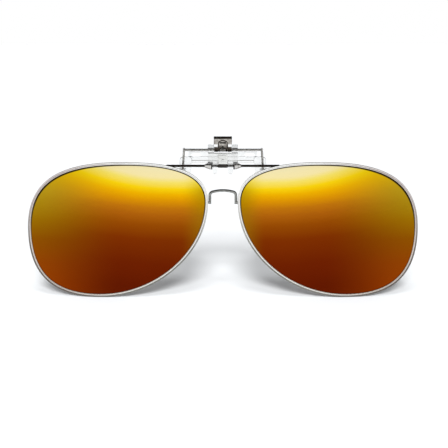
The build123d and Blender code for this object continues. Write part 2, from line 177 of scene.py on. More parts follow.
def add_lamp(name, azimuth, elevation, spread, strength):
    """A far, soft lamp that lights the table evenly; metal and resin show the booth and not the lamp."""
    data = bpy.data.lights.new(name, "SUN")
    data.angle = math.radians(spread)
    data.energy = strength
    lamp = new_object(name, data)
    across, up = math.radians(azimuth), math.radians(elevation)
    outwards = Vector((math.sin(across) * math.cos(up), -math.cos(across) * math.cos(up), math.sin(up)))
    lamp.rotation_euler = outwards.to_track_quat("Z", "Y").to_euler()
    lamp.visible_glossy = False
    lamp.visible_transmission = False


add_lamp("low_lamp", azimuth=0, elevation=19, spread=11, strength=9.0)
add_lamp("high_lamp", azimuth=0, elevation=46, spread=18, strength=1.8)
add_lamp("overhead_lamp", azimuth=180, elevation=84, spread=60, strength=0.75)

camera_data = bpy.data.cameras.new("camera")
camera_data.sensor_width = sensor_width
camera_data.lens = sensor_width * camera_distance / picture_width
camera_data.clip_start = near_clip
camera = new_object("camera", camera_data)
towards_camera = Vector((0, -math.cos(camera_rise), math.sin(camera_rise)))
camera.location = aim + camera_distance * towards_camera
camera.rotation_euler = towards_camera.to_track_quat("Z", "Y").to_euler()
bpy.context.scene.camera = camera
bpy.context.scene.view_settings.view_transform = "Standard"

# ================================================================ lenses
# Two thin domed discs of brown polycarbonate, cut to a pilot outline with a small bevel.  The front
# carries a mirror coat whose colour runs from pale gold at the brow to deep red at the cheek.  That
# grading is partly the coat's own and partly painted reflection, bright above and dark below, with a
# painted highlight near the brow.
lens_low, lens_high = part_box("lens_right")
hinge = Vector(frame["joints"][0]["pos_m"])
lens_edge_depth = 0.05 * mm  # cut edge outside the outline
lens_thickness = 1.1 * mm
lens_curve_radius = 132.0 * mm
face_form = math.radians(4.0)
rim_reach = 0.7 * mm
rim_lip = 0.4 * mm
lens_bevel = 0.12 * mm
quarter_steps = 44
top_share = 0.459  # highest point, as a share of the width from the nose side
bottom_share = 0.613
temple_share = 0.49  # widest point, as a share of the height from the top
nose_share = 0.288
top_temple_fullness = 0.689  # how far each quarter of the outline swells towards its corner
temple_bottom_fullness = 0.682
bottom_nose_fullness = 0.531
nose_top_fullness = 0.678
far_inset = 10 * mm  # stands for every point that is far from the edge

nose_x = lens_low.x + lens_edge_depth
temple_x = lens_high.x - lens_edge_depth
top_z = lens_high.z - lens_edge_depth
bottom_z = lens_low.z + lens_edge_depth
lens_middle = Vector(((nose_x + temple_x) / 2, 0, (top_z + bottom_z) / 2))


def lens_outline(outset):
    """Points in x and z round the right lens, clockwise from the top, pushed outwards by outset."""
    width, height = temple_x - nose_x, top_z - bottom_z
    top = (nose_x + top_share * width, top_z + outset)
    temple = (temple_x + outset, top_z - temple_share * height)
    bottom = (nose_x + bottom_share * width, bottom_z - outset)
    nose = (nose_x - outset, top_z - nose_share * height)
    quarters = (
        (top, temple, top_temple_fullness),
        (temple, bottom, temple_bottom_fullness),
        (bottom, nose, bottom_nose_fullness),
        (nose, top, nose_top_fullness),
    )
    points = []
    for start, end, fullness in quarters:
        leaves_flat = start in (top, bottom)
        corner = (end[0], start[1]) if leaves_flat else (start[0], end[1])
        first = [s + fullness * (c - s) for s, c in zip(start, corner)]
        second = [e + fullness * (c - e) for e, c in zip(end, corner)]
        controls = (start, first, second, end)
        for t in np.arange(quarter_steps) / quarter_steps:
            weights = ((1 - t) ** 3, 3 * t * (1 - t) ** 2, 3 * t * t * (1 - t), t**3)
            points.append([sum(w * p[axis] for w, p in zip(weights, controls)) for axis in (0, 1)])
    return np.array(points)


middle_radius = lens_curve_radius - lens_thickness / 2
dome_x = lens_middle.x - middle_radius * math.sin(face_form)
nose_to_top = lens_outline(rim_reach)[3 * quarter_steps :]
join_x = np.interp(hinge.z, nose_to_top[:, 1], nose_to_top[:, 0])
dome_y = hinge.y + math.sqrt(middle_radius**2 - (join_x - dome_x) ** 2 - (hinge.z - lens_middle.z) ** 2)


def on_dome(points, radius):
    """Points in x and z, carried to the front of a sphere about the right lens's centre of curvature."""
    x, z = points[:, 0], points[:, 1]
    y = dome_y - np.sqrt(radius**2 - (x - dome_x) ** 2 - (z - lens_middle.z) ** 2)
    return np.column_stack((x, y, z))


def skin(name, rings, poles=(), side=1):
    """A closed mesh over rings of equal length: capped at both poles, or else joined end to start."""
    count = len(rings[0])
    points = [tuple(point) for ring in rings for point in ring] + [tuple(pole) for pole in poles]
    faces = []
    for ring in range(len(rings) - 1 if poles else len(rings)):
        start, after = ring * count, (ring + 1) % len(rings) * count
        for step in range(count):
            beside = (step + 1) % count
            faces.append((start + step, start + beside, after + beside, after + step))
    for pole in range(len(poles)):
        start = pole * (len(rings) - 1) * count
        apex = len(rings) * count + pole
        faces += [(start + step, start + (step + 1) % count, apex) for step in range(count)]
    mesh = bpy.data.meshes.new(name)
    mesh.from_pydata([(side * x, y, z) for x, y, z in points], [], faces)
    mesh.shade_smooth()
    shape = bmesh.new()
    shape.from_mesh(mesh)
    bmesh.ops.recalc_face_normals(shape, faces=shape.faces)
    shape.to_mesh(mesh)
    shape.free()
    return new_object(name, mesh)


# Rings run from the front's middle to the edge, round the bevels and back to the middle behind.
edge_insets = np.array([0.0, 0.25, 0.5, 0.75, 1.0, 1.4, 2.0]) * mm
inner_shares = np.linspace(0.94, 0.06, 16)
front_flat = [lens_outline(lens_edge_depth - lens_bevel - inset) for inset in edge_insets[::-1]]
middle_flat = np.array([lens_middle.x, lens_middle.z])
inner_flat = [middle_flat + share * (front_flat[0] - middle_flat) for share in inner_shares[::-1]]
face_rings = inner_flat + front_flat
face_insets = [far_inset] * len(inner_flat) + list(edge_insets[::-1])
back_radius = lens_curve_radius - lens_thickness
cut_edge = lens_outline(lens_edge_depth)
lens_rings = [on_dome(ring, lens_curve_radius) for ring in face_rings]
lens_rings.append(on_dome(cut_edge, lens_curve_radius - lens_bevel))
lens_rings.append(on_dome(cut_edge, back_radius + lens_bevel))
lens_rings += [on_dome(ring, back_radius) for ring in face_rings[::-1]]
ring_insets = face_insets + [0.0, 0.0] + face_insets[::-1]
lens_poles = [on_dome(middle_flat[None, :], radius)[0] for radius in (lens_curve_radius, back_radius)]


def ramp_stops(ramp, stops):
    """Fill a colour ramp with (position, colour) stops."""
    while len(ramp.elements) < len(stops):
        ramp.elements.new(0.5)
    for element, (position, colour) in zip(ramp.elements, stops):
        element.position = position
        element.color = colour


def coat_and_painted_reflection():
    """The graded coat and its painted reflection: bands of colour, bright above and dark below, that sag
    towards the temple, olive gold at both sides, pale where a highlight is painted near the brow.
    """
    # Places are in mm across from the nose's middle and in mm of height, with zero near the brow.
    sag_start = 21.0  # the bands sag from here to the temple
    sag_round = 10.0
    sag_heights = (-11.0, -2.0)
    sag_slopes = (0.15, 0.28)
    rise_start = 24.0  # and rise a little from here to the nose
    rise_slope = 0.03
    coat_height = 44.0
    nose_height = 30.0
    temple_blend = (35.0, 74.0)  # olive gold mixes in from the first place to the second
    nose_blend = (15.5, 5.5)
    drift_size = 60.0  # slow unevenness of the coat
    drift_detail = 2.0
    drift_range = (0.3, 0.7)
    drift_tints = ((0.96, 0.96, 0.96, 1), (1.0, 1.0, 1.0, 1))
    coat_roughness = (0.13, 0.19)
    rim_shadow_width_least = 0.64  # painted shadow of the rim on the lens: a dark line beside the lip, widest at the outer brow
    rim_shadow_width_more = 0.26
    rim_shadow_core = 0.6
    brow_across = (30.0, 54.0)
    brow_heights = (-30.0, -8.0)
    rim_shadow_heights = (-32.0, -14.0)
    rim_shadow_strengths = (0.35, 1.0)
    material = bpy.data.materials.new("lens_coat_and_painted_reflection")
    material.use_nodes = True
    nodes = material.node_tree.nodes
    link = material.node_tree.links.new
    shader = nodes["Principled BSDF"]
    shader.inputs["Metallic"].default_value = 1.0

    def maths(operation, first, second=None, clamp=False):
        node = nodes.new("ShaderNodeMath")
        node.operation = operation
        node.use_clamp = clamp
        for socket, value in zip(node.inputs, (first, second)):
            if isinstance(value, bpy.types.NodeSocket):
                link(value, socket)
            elif value is not None:
                socket.default_value = value
        return node.outputs["Value"]

    def scaled(value, low, high, to_low=0.0, to_high=1.0, shape="LINEAR"):
        node = nodes.new("ShaderNodeMapRange")
        node.interpolation_type = shape
        link(value, node.inputs["Value"])
        ends = {"From Min": low, "From Max": high, "To Min": to_low, "To Max": to_high}
        for label, number in ends.items():
            node.inputs[label].default_value = number
        return node.outputs["Result"]

    def toned(value, stops):
        node = nodes.new("ShaderNodeValToRGB")
        ramp_stops(node.color_ramp, stops)
        link(value, node.inputs["Fac"])
        return node.outputs["Color"]

    def mixed(share, first, second, blend="MIX"):
        node = nodes.new("ShaderNodeMix")
        node.data_type = "RGBA"
        node.blend_type = blend
        if isinstance(share, bpy.types.NodeSocket):
            link(share, node.inputs["Factor"])
        else:
            node.inputs["Factor"].default_value = share
        link(first, node.inputs["A"])
        if isinstance(second, bpy.types.NodeSocket):
            link(second, node.inputs["B"])
        else:
            node.inputs["B"].default_value = second
        return node.outputs["Result"]

    coords = nodes.new("ShaderNodeTexCoord")
    axes = nodes.new("ShaderNodeSeparateXYZ")
    link(coords.outputs["Object"], axes.inputs["Vector"])
    across = maths("ABSOLUTE", maths("DIVIDE", axes.outputs["X"], mm))
    height = maths("DIVIDE", axes.outputs["Z"], mm)
    outwards = maths("MAXIMUM", maths("SUBTRACT", across, sag_start), 0.0)
    inwards = maths("MAXIMUM", maths("SUBTRACT", rise_start, across), 0.0)
    outer_run = maths("SQRT", maths("ADD", maths("MULTIPLY", outwards, outwards), sag_round**2))
    steepness = scaled(height, *sag_heights, *sag_slopes)
    outer_sag = maths("MULTIPLY", maths("SUBTRACT", outer_run, sag_round), steepness)
    inner_rise = maths("MULTIPLY", inwards, rise_slope)
    level = maths("ADD", maths("SUBTRACT", height, outer_sag), inner_rise)
    # main bands: coat colour with painted reflection, bright above and dark below
    main = toned(
        scaled(level, -coat_height, 0.0),
        [
            (0.00, linear(98, 25, 2)),
            (0.20, linear(107, 31, 2)),
            (0.40, linear(124, 46, 2)),
            (0.52, linear(148, 72, 4)),
            (0.60, linear(172, 94, 12)),
            (0.66, linear(192, 115, 13)),
            (0.72, linear(222, 148, 5)),
            (0.77, linear(241, 178, 1)),
            (0.82, linear(252, 214, 16)),
            # the palest stops, at the brow, are a painted highlight
            (0.87, linear(250, 229, 106)),
            (0.91, linear(251, 235, 172)),
            (1.00, linear(250, 238, 190)),
        ],
    )
    temple = toned(
        scaled(height, -coat_height, 0.0),
        [
            (0.00, linear(150, 62, 3)),
            (0.20, linear(144, 66, 4)),
            (0.40, linear(140, 80, 2)),
            (0.55, linear(153, 108, 4)),
            (0.68, linear(168, 134, 16)),
            (0.80, linear(180, 154, 26)),
            (1.00, linear(206, 182, 14)),
        ],
    )
    nose = toned(
        scaled(height, -nose_height, 0.0),
        [
            (0.00, linear(130, 80, 6)),
            (0.40, linear(158, 108, 10)),
            (0.55, linear(178, 130, 2)),
            (0.70, linear(194, 158, 12)),
            (0.83, linear(240, 212, 14)),
            (1.00, linear(200, 180, 46)),
        ],
    )
    painted = mixed(scaled(across, *temple_blend, shape="SMOOTHSTEP"), main, temple)
    painted = mixed(scaled(across, *nose_blend, shape="SMOOTHSTEP"), painted, nose)
    drift = nodes.new("ShaderNodeTexNoise")
    drift.inputs["Scale"].default_value = drift_size
    drift.inputs["Detail"].default_value = drift_detail
    link(coords.outputs["Object"], drift.inputs["Vector"])
    drift_tones = toned(drift.outputs["Fac"], list(zip(drift_range, drift_tints)))
    painted = mixed(1.0, painted, drift_tones, "MULTIPLY")
    inset = nodes.new("ShaderNodeAttribute")
    inset.attribute_name = "inset"
    inset_mm = maths("DIVIDE", inset.outputs["Fac"], mm)
    brow_side = maths("MULTIPLY", scaled(across, *brow_across), scaled(height, *brow_heights))
    rim_shadow_width = maths("ADD", maths("MULTIPLY", brow_side, rim_shadow_width_more), rim_shadow_width_least)
    rim_shadow_depth = scaled(height, *rim_shadow_heights, *rim_shadow_strengths)
    rim_shadow = scaled(maths("DIVIDE", inset_mm, rim_shadow_width), 1.0, rim_shadow_core, shape="SMOOTHSTEP")
    rim_shadow = maths("MULTIPLY", rim_shadow, rim_shadow_depth)
    # painted shadow: the lens darkened in a line beside the rim's lip
    painted = mixed(rim_shadow, painted, linear(44, 34, 16))
    link(painted, shader.inputs["Base Color"])
    link(scaled(drift.outputs["Fac"], *drift_range, *coat_roughness), shader.inputs["Roughness"])
    return material


coat_and_reflection_finish = coat_and_painted_reflection()
lens_back_finish = finish_material(
    "lens_brown_tint",
    colours=(linear(80, 46, 22), linear(85, 50, 24)),
    roughness=(0.05, 0.09),
    grain=60.0,
    relief=0.0,
    settings={"IOR": 1.58, "Coat Weight": 0.5, "Coat Roughness": 0.04},
)
for side, word in ((1, "right"), (-1, "left")):
    lens = skin(f"lens_{word}_disc", lens_rings, lens_poles, side)
    lens.data.materials.append(coat_and_reflection_finish)
    lens.data.materials.append(lens_back_finish)
    for polygon in lens.data.polygons:
        polygon.material_index = 1 if polygon.normal.y > 0 else 0
    inset_values = np.append(np.repeat(ring_insets, 4 * quarter_steps), [far_inset, far_inset])
    lens.data.attributes.new("inset", "FLOAT", "POINT").data.foreach_set("value", inset_values)
    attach(lens, "lens_frame")
    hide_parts(f"lens_{word}")

# ================================================================ rims
# Each rim is one closed band of rolled wire, bent to the lens's outline and dome, then silver plated
# and polished.  It reaches over the lens's edge in front and behind, and ends in a thin lip.  Shade is
# painted on: the lip dark towards the brow, the plate darker towards the cheek and the temples.
groove_clearance = 0.06 * mm
rim_proud = 0.35 * mm  # band in front of and behind the lens
shoulder_height = 0.26 * mm
shoulder_edge = -0.2 * mm  # where the polished shoulder gives way to the dark lip
lip_height = 0.18 * mm
rim_overlap = 0.04 * mm  # each part of the section carried into the next
band_corner = 0.17 * mm
shoulder_corner = 0.10 * mm
lip_corner = 0.05 * mm
corner_steps = 5
plate_shade_heights = (6 * mm, 30 * mm)  # painted shade: the plate darker towards the cheek, below the bar
plate_shade_sides = (34 * mm, 58 * mm)  # and painted darker towards the temples
# painted shade in the groove, darker towards the brow
lip_shade_heights = (30 * mm, 12 * mm)


def start_tree(name, sizes):
    """A Geometry Nodes tree that takes a path and named sizes, and gives a mesh."""
    tree = bpy.data.node_groups.new(name, "GeometryNodeTree")
    tree.interface.new_socket("Path", in_out="INPUT", socket_type="NodeSocketGeometry")
    for label in sizes:
        tree.interface.new_socket(label, in_out="INPUT", socket_type="NodeSocketFloat")
    tree.interface.new_socket("Finish", in_out="INPUT", socket_type="NodeSocketMaterial")
    tree.interface.new_socket("Mesh", in_out="OUTPUT", socket_type="NodeSocketGeometry")
    path = tree.nodes.new("GeometryNodeMeshToCurve")
    group_in = tree.nodes.new("NodeGroupInput")
    tree.links.new(group_in.outputs["Path"], path.inputs["Mesh"])
    return tree, group_in, path.outputs["Curve"]


def end_tree(tree, group_in, path, profile, capped):
    """Sweep the profile along the path, shade it smooth, realise it and give it its finish."""
    link = tree.links.new
    sweep = tree.nodes.new("GeometryNodeCurveToMesh")
    sweep.inputs["Fill Caps"].default_value = capped
    smooth = tree.nodes.new("GeometryNodeSetShadeSmooth")
    realise = tree.nodes.new("GeometryNodeRealizeInstances")
    finish = tree.nodes.new("GeometryNodeSetMaterial")
    group_out = tree.nodes.new("NodeGroupOutput")
    link(path, sweep.inputs["Curve"])
    link(profile, sweep.inputs["Profile Curve"])
    link(sweep.outputs["Mesh"], smooth.inputs["Geometry"])
    link(smooth.outputs["Geometry"], realise.inputs["Geometry"])
    link(realise.outputs["Geometry"], finish.inputs["Geometry"])
    link(group_in.outputs["Finish"], finish.inputs["Material"])
    link(finish.outputs["Geometry"], group_out.inputs["Mesh"])
    return tree


def settle(piece):
    """Replace a piece's mesh with the finished result of its modifiers."""
    graph = bpy.context.evaluated_depsgraph_get()
    made = bpy.data.meshes.new_from_object(piece.evaluated_get(graph))
    piece.modifiers.clear()
    piece.data = made
    return piece


def follow_path(name, points, tree, sizes, closed=False, bends=()):
    """Sweep a tree's profile along points, with a bend radius at each point where bends are given."""
    count = len(points)
    edges = [(step, (step + 1) % count) for step in range(count if closed else count - 1)]
    mesh = bpy.data.meshes.new(name)
    mesh.from_pydata([tuple(point) for point in points], edges, [])
    if bends:
        mesh.attributes.new("bend", "FLOAT", "POINT").data.foreach_set("value", bends)
    piece = new_object(name, mesh)
    modifier = piece.modifiers.new("sweep", "NODES")
    modifier.node_group = tree
    for socket in tree.interface.items_tree:
        if socket.name in sizes:
            modifier[socket.identifier] = sizes[socket.name]
    return settle(piece)


def band_tree():
    """A band with rounded edges whose flat side keeps facing forwards all the way round."""
    tree, group_in, path = start_tree("rim_band", ("Width", "Depth", "Corner"))
    facing = tree.nodes.new("GeometryNodeSetCurveNormal")
    facing.mode = "FREE"
    facing.inputs["Normal"].default_value = (0, 1, 0)
    profile = tree.nodes.new("GeometryNodeCurvePrimitiveQuadrilateral")
    rounded = tree.nodes.new("GeometryNodeFilletCurve")
    rounded.mode = "POLY"
    rounded.inputs["Count"].default_value = corner_steps
    tree.links.new(path, facing.inputs["Curve"])
    tree.links.new(group_in.outputs["Depth"], profile.inputs["Width"])
    tree.links.new(group_in.outputs["Width"], profile.inputs["Height"])
    tree.links.new(profile.outputs["Curve"], rounded.inputs["Curve"])
    tree.links.new(group_in.outputs["Corner"], rounded.inputs["Radius"])
    return end_tree(tree, group_in, facing.outputs["Curve"], rounded.outputs["Curve"], False)


def joined(name, pieces):
    """One piece made of several, each part keeping its own finish."""
    shape = bmesh.new()
    mesh = bpy.data.meshes.new(name)
    for piece in pieces:
        start = len(shape.faces)
        shape.from_mesh(piece.data)
        shape.faces.ensure_lookup_table()
        finish = piece.data.materials[0]
        if finish.name not in mesh.materials:
            mesh.materials.append(finish)
        for face in shape.faces[start:]:
            face.material_index = mesh.materials.find(finish.name)
        bpy.data.objects.remove(piece)
    shape.to_mesh(mesh)
    shape.free()
    return new_object(name, mesh)


def darken_along(material, axis, clean, dark, shade):
    """Darken a finish between two distances from the origin along an axis: painted shade on the rims, and
    a darker zone on the lever.
    """
    nodes = material.node_tree.nodes
    link = material.node_tree.links.new
    shader = nodes["Principled BSDF"]
    coords = nodes.new("ShaderNodeTexCoord")
    axes = nodes.new("ShaderNodeSeparateXYZ")
    distance = nodes.new("ShaderNodeMath")
    distance.operation = "ABSOLUTE"
    share = nodes.new("ShaderNodeMapRange")
    share.inputs["From Min"].default_value = clean
    share.inputs["From Max"].default_value = dark
    darker = nodes.new("ShaderNodeMix")
    darker.data_type = "RGBA"
    darker.blend_type = "MULTIPLY"
    darker.inputs["B"].default_value = shade
    link(coords.outputs["Object"], axes.inputs["Vector"])
    link(axes.outputs[axis], distance.inputs["Value"])
    link(distance.outputs["Value"], share.inputs["Value"])
    link(share.outputs["Result"], darker.inputs["Factor"])
    link(shader.inputs["Base Color"].links[0].from_socket, darker.inputs["A"])
    link(darker.outputs["Result"], shader.inputs["Base Color"])


silver_plate = finish_material(
    "silver_plate",
    colours=(linear(241, 240, 237), linear(249, 248, 246)),
    roughness=(0.08, 0.14),
    grain=2400.0,
    relief=0.001 * mm,
    settings={"Metallic": 1.0},
)
# painted shade: the plate darkened towards the cheek and the temples
darken_along(silver_plate, "Z", *plate_shade_heights, linear(138, 137, 131))
darken_along(silver_plate, "X", *plate_shade_sides, linear(216, 206, 204))
shoulder_polish = finish_material(
    "shoulder_polish",
    colours=(linear(238, 236, 231), linear(248, 247, 243)),
    roughness=(0.08, 0.14),
    grain=2400.0,
    relief=0.001 * mm,
    settings={"Metallic": 1.0},
)
# painted shade towards the temples
darken_along(shoulder_polish, "X", *plate_shade_sides, linear(216, 206, 204))
lip_painted_shade = finish_material(
    "lip_painted_shade",
    colours=(linear(196, 186, 172), linear(216, 208, 196)),
    roughness=(0.24, 0.38),
    grain=2000.0,
    relief=0.002 * mm,
    settings={"Metallic": 1.0},
)
# painted shade: the lip darkened towards the brow, where the groove is shaded
darken_along(lip_painted_shade, "Z", *lip_shade_heights, linear(62, 55, 42))
rim_band = band_tree()
groove_floor = lens_edge_depth + groove_clearance
shoulder_span = (shoulder_edge, groove_floor + rim_overlap)
shoulder_middle = groove_clearance + shoulder_height / 2
lip_span = (-rim_lip, shoulder_edge + rim_overlap)
lip_middle = groove_clearance + lip_height / 2
band_depth = lens_thickness + 2 * rim_proud
rim_sections = [("band", (groove_floor, rim_reach), middle_radius, band_depth, band_corner, silver_plate)]
for face_radius, outwards, word in ((lens_curve_radius, 1, "front"), (back_radius, -1, "back")):
    shoulder_radius = face_radius + outwards * shoulder_middle
    shoulder_sizes = (shoulder_span, shoulder_radius, shoulder_height, shoulder_corner)
    lip_radius = face_radius + outwards * lip_middle
    lip_sizes = (lip_span, lip_radius, lip_height, lip_corner)
    rim_sections += [
        (f"{word}_shoulder", *shoulder_sizes, shoulder_polish),
        (f"{word}_lip", *lip_sizes, lip_painted_shade),
    ]
for side, word in ((1, "right"), (-1, "left")):
    parts = []
    for part, (inner, outer), radius, depth, corner, finish in rim_sections:
        path = on_dome(lens_outline((inner + outer) / 2), radius) * (side, 1, 1)
        sizes = {"Width": outer - inner, "Depth": depth, "Corner": corner, "Finish": finish}
        parts.append(follow_path(f"rim_{word}_{part}", path, rim_band, sizes, closed=True))
    rim = joined(f"rim_{word}_rolled", parts)
    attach(rim, "lens_frame")
    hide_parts(f"rim_{word}")

# ================================================================ bridge wire and its feet
# One round wire bent into a low arch between the rims, its legs brazed to them on two small square
# feet.  Silver plated with the rims, after brazing.
wire_low, wire_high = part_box("bridge_wire")
bridge_radius = 0.5 * mm
bridge_drop = 1.0 * mm  # shoulders below the crown
bridge_bend = 1.3 * mm
crown_bend = 14.0 * mm
foot_bevel = 0.12 * mm
bend_steps = 12
wire_sides = 24
merge_distance = 0.001 * mm
flat_angle = math.radians(0.3)  # faces closer than this to one plane are made one
sharp_angle = math.radians(32)  # edges sharper than this are eased


def wire_tree():
    """A round wire along a path with its own bend radius at each corner."""
    tree, group_in, path = start_tree("bent_wire", ("Wire radius",))
    bend = tree.nodes.new("GeometryNodeInputNamedAttribute")
    bend.data_type = "FLOAT"
    bend.inputs["Name"].default_value = "bend"
    bent = tree.nodes.new("GeometryNodeFilletCurve")
    bent.mode = "POLY"
    bent.inputs["Count"].default_value = bend_steps
    profile = tree.nodes.new("GeometryNodeCurvePrimitiveCircle")
    profile.inputs["Resolution"].default_value = wire_sides
    tree.links.new(path, bent.inputs["Curve"])
    tree.links.new(bend.outputs["Attribute"], bent.inputs["Radius"])
    tree.links.new(group_in.outputs["Wire radius"], profile.inputs["Radius"])
    return end_tree(tree, group_in, bent.outputs["Curve"], profile.outputs["Curve"], True)


def cad_copy(node, name, material, gap=0.0):
    """A piece with a CAD node's own shape, its doubled points merged, moved back by gap."""
    mesh = frame["nodes"][node].data.copy()
    mesh.name = name
    shape = bmesh.new()
    shape.from_mesh(mesh)
    bmesh.ops.remove_doubles(shape, verts=shape.verts, dist=merge_distance)
    bmesh.ops.dissolve_limit(shape, angle_limit=flat_angle, verts=shape.verts, edges=shape.edges)
    bmesh.ops.translate(shape, verts=shape.verts, vec=(0, gap, 0))
    shape.to_mesh(mesh)
    shape.free()
    mesh.shade_smooth()
    mesh.materials.clear()
    mesh.materials.append(material)
    return new_object(name, mesh)


def stand_for(piece, node, body):
    """The piece moves with a body and is seen in place of a CAD node."""
    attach(piece, body)
    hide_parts(node)
    return piece


def worked_copy(node, name, bevel, material, body, steps=2):
    """A copy of a CAD node with its sharp edges eased."""
    piece = cad_copy(node, name, material)
    eased = piece.modifiers.new("eased", "BEVEL")
    eased.width = bevel
    eased.segments = steps
    eased.limit_method = "ANGLE"
    eased.angle_limit = sharp_angle
    even = piece.modifiers.new("even", "WEIGHTED_NORMAL")
    even.keep_sharp = False
    return stand_for(settle(piece), node, body)


bridge_plate = finish_material(
    "bridge_plate",
    colours=(linear(112, 112, 108), linear(156, 156, 152)),
    roughness=(0.12, 0.22),
    grain=800.0,
    relief=0.003 * mm,
    settings={"Metallic": 1.0},
)
bent_wire = wire_tree()
crown_turn = math.atan2(bridge_drop, wire_high.x - bridge_radius)
crown_z = wire_high.z - bridge_radius + crown_bend * (1 / math.cos(crown_turn) - 1)
leg_x = wire_high.x - bridge_radius
bridge_y = (wire_low.y + wire_high.y) / 2
bridge = follow_path(
    "bridge_wire_arch",
    [
        (-leg_x, bridge_y, wire_low.z),
        (-leg_x, bridge_y, crown_z - bridge_drop),
        (0, bridge_y, crown_z),
        (leg_x, bridge_y, crown_z - bridge_drop),
        (leg_x, bridge_y, wire_low.z),
    ],
    bent_wire,
    {"Wire radius": bridge_radius, "Finish": bridge_plate},
    bends=(0, bridge_bend, crown_bend, bridge_bend, 0),
)
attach(bridge, "lens_frame")
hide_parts("bridge_wire")
for word in ("left", "right"):
    foot = f"bridge_foot_{word}"
    worked_copy(foot, f"{foot}_block", foot_bevel, bridge_plate, "lens_frame")

# ================================================================ brow bar, cam and collars
# A dark nickel bar is the hinge's axle.  It carries a blackened square cam in the middle and two
# turned, polished cones that stop the clip from sliding.
collar_low, collar_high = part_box("hinge_collar_right")
bar_low, bar_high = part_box("brow_bar")
collar_radius = (collar_high.z - collar_low.z) / 2
bar_radius = (bar_high.z - bar_low.z) / 2
collar_shoulder = 0.95 * mm  # length of the cylindrical part
collar_lip = 0.12 * mm
collar_round = 0.10 * mm
corner_inset = 0.3 * collar_round  # of a rounded corner's middle
cone_inset = 0.2 * collar_round  # the same where the cone begins and ends
tip_inset = 0.5 * collar_round
collar_shade_ring = 0.45 * mm  # band beside the lug, painted black as shade between collar and clip
lathe_steps = 72
bar_bevel = 0.05 * mm
cam_bevel = 0.06 * mm

dark_nickel = finish_material(
    "dark_nickel",
    colours=(linear(44, 39, 34), linear(70, 64, 57)),
    roughness=(0.16, 0.28),
    grain=1600.0,
    relief=0.003 * mm,
    settings={"Metallic": 1.0},
)
black_oxide = finish_material(
    "black_oxide",
    colours=(linear(26, 24, 23), linear(44, 41, 38)),
    roughness=(0.30, 0.45),
    grain=1500.0,
    relief=0.006 * mm,
    settings={"Metallic": 0.7},
)
turned_chrome = finish_material(
    "turned_chrome",
    colours=(linear(164, 161, 157), linear(222, 220, 217)),
    roughness=(0.06, 0.14),
    grain=1400.0,
    relief=0.003 * mm,
    settings={"Metallic": 1.0},
    stretch=(4, 1, 1),
)


def lathe(name, profile, side):
    """A turned ring about the hinge axis, from (distance along X, radius) points."""
    angles = np.linspace(0, 2 * math.pi, lathe_steps, endpoint=False)
    rings = []
    for x, r in profile:
        y = hinge.y + r * np.cos(angles)
        z = hinge.z + r * np.sin(angles)
        rings.append(np.column_stack((np.full(lathe_steps, x), y, z)))
    return skin(name, rings, side=side)


inner_x, tip_x = collar_low.x, collar_high.x
collar_profile = [
    (inner_x, bar_radius),
    (inner_x, collar_radius - collar_round),
    (inner_x + corner_inset, collar_radius - corner_inset),
    (inner_x + collar_round, collar_radius),
    (inner_x + collar_shade_ring, collar_radius),
    (inner_x + collar_shoulder - collar_round, collar_radius),
    (inner_x + collar_shoulder + corner_inset, collar_radius - cone_inset),
    (tip_x - tip_inset, bar_radius + collar_lip + cone_inset),
    (tip_x, bar_radius + collar_lip - corner_inset),
    (tip_x, bar_radius),
]
for side, word in ((1, "right"), (-1, "left")):
    collar = lathe(f"hinge_collar_{word}_cone", collar_profile, side)
    collar.data.materials.append(turned_chrome)
    collar.data.materials.append(black_oxide)
    # the band beside the lug is painted black as shade
    for polygon in collar.data.polygons:
        polygon.material_index = 1 if abs(polygon.center.x) < inner_x + collar_shade_ring else 0
    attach(collar, "lens_frame")
    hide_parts(f"hinge_collar_{word}")
worked_copy("brow_bar", "brow_bar_axle", bar_bevel, dark_nickel, "lens_frame")
worked_copy("hinge_cam", "hinge_cam_block", cam_bevel, black_oxide, "lens_frame")

# ================================================================ clear housing and front jaw
# Two clear polycarbonate mouldings, welded together: a cover that clicks over the axle, and a web
# with windows that carries the two claws.  Their edges are rounded by the mould.
cover_voxel = 0.08 * mm
web_voxel = 0.10 * mm
mould_passes = 7  # smoothing that rounds the edges
mould_ease = 0.5
weld_line = 0.02 * mm  # air line between the two mouldings round their weld
clear_resin = finish_material(
    "clear_polycarbonate",
    colours=(linear(237, 237, 236), linear(245, 245, 244)),
    roughness=(0.03, 0.08),
    grain=300.0,
    relief=0.004 * mm,
    settings={"IOR": 1.49, "Transmission Weight": 1.0},
)


def moulded_copy(node, name, voxel, gap):
    """A copy of a CAD node with every edge rounded as a mould rounds it."""
    piece = cad_copy(node, name, clear_resin, gap)
    grid = piece.modifiers.new("grid", "REMESH")
    grid.mode = "VOXEL"
    grid.voxel_size = voxel
    rounding = piece.modifiers.new("rounding", "SMOOTH")
    rounding.factor = mould_ease
    rounding.iterations = mould_passes
    settle(piece)
    piece.data.shade_smooth()
    stand_for(piece, node, "clip")


moulded_copy("clip_housing", "clip_housing_cover", cover_voxel, 0.0)
moulded_copy("front_jaw", "front_jaw_web", web_voxel, weld_line)

# ================================================================ detent leaf and rivet
# A strip of bare spring steel, riveted inside the front pocket.  Its tongue presses on the cam and
# snaps the lenses down or up.
leaf_bevel = 0.04 * mm
rivet_bevel = 0.03 * mm
leaf_steel = finish_material(
    "leaf_steel",
    colours=(linear(206, 206, 202), linear(232, 232, 229)),
    roughness=(0.18, 0.30),
    grain=1600.0,
    relief=0.003 * mm,
    settings={"Metallic": 1.0},
    stretch=(0.15, 1, 1),
)
worked_copy("detent_leaf", "detent_leaf_strip", leaf_bevel, leaf_steel, "clip")
worked_copy("leaf_rivet", "leaf_rivet_head", rivet_bevel, leaf_steel, "clip")

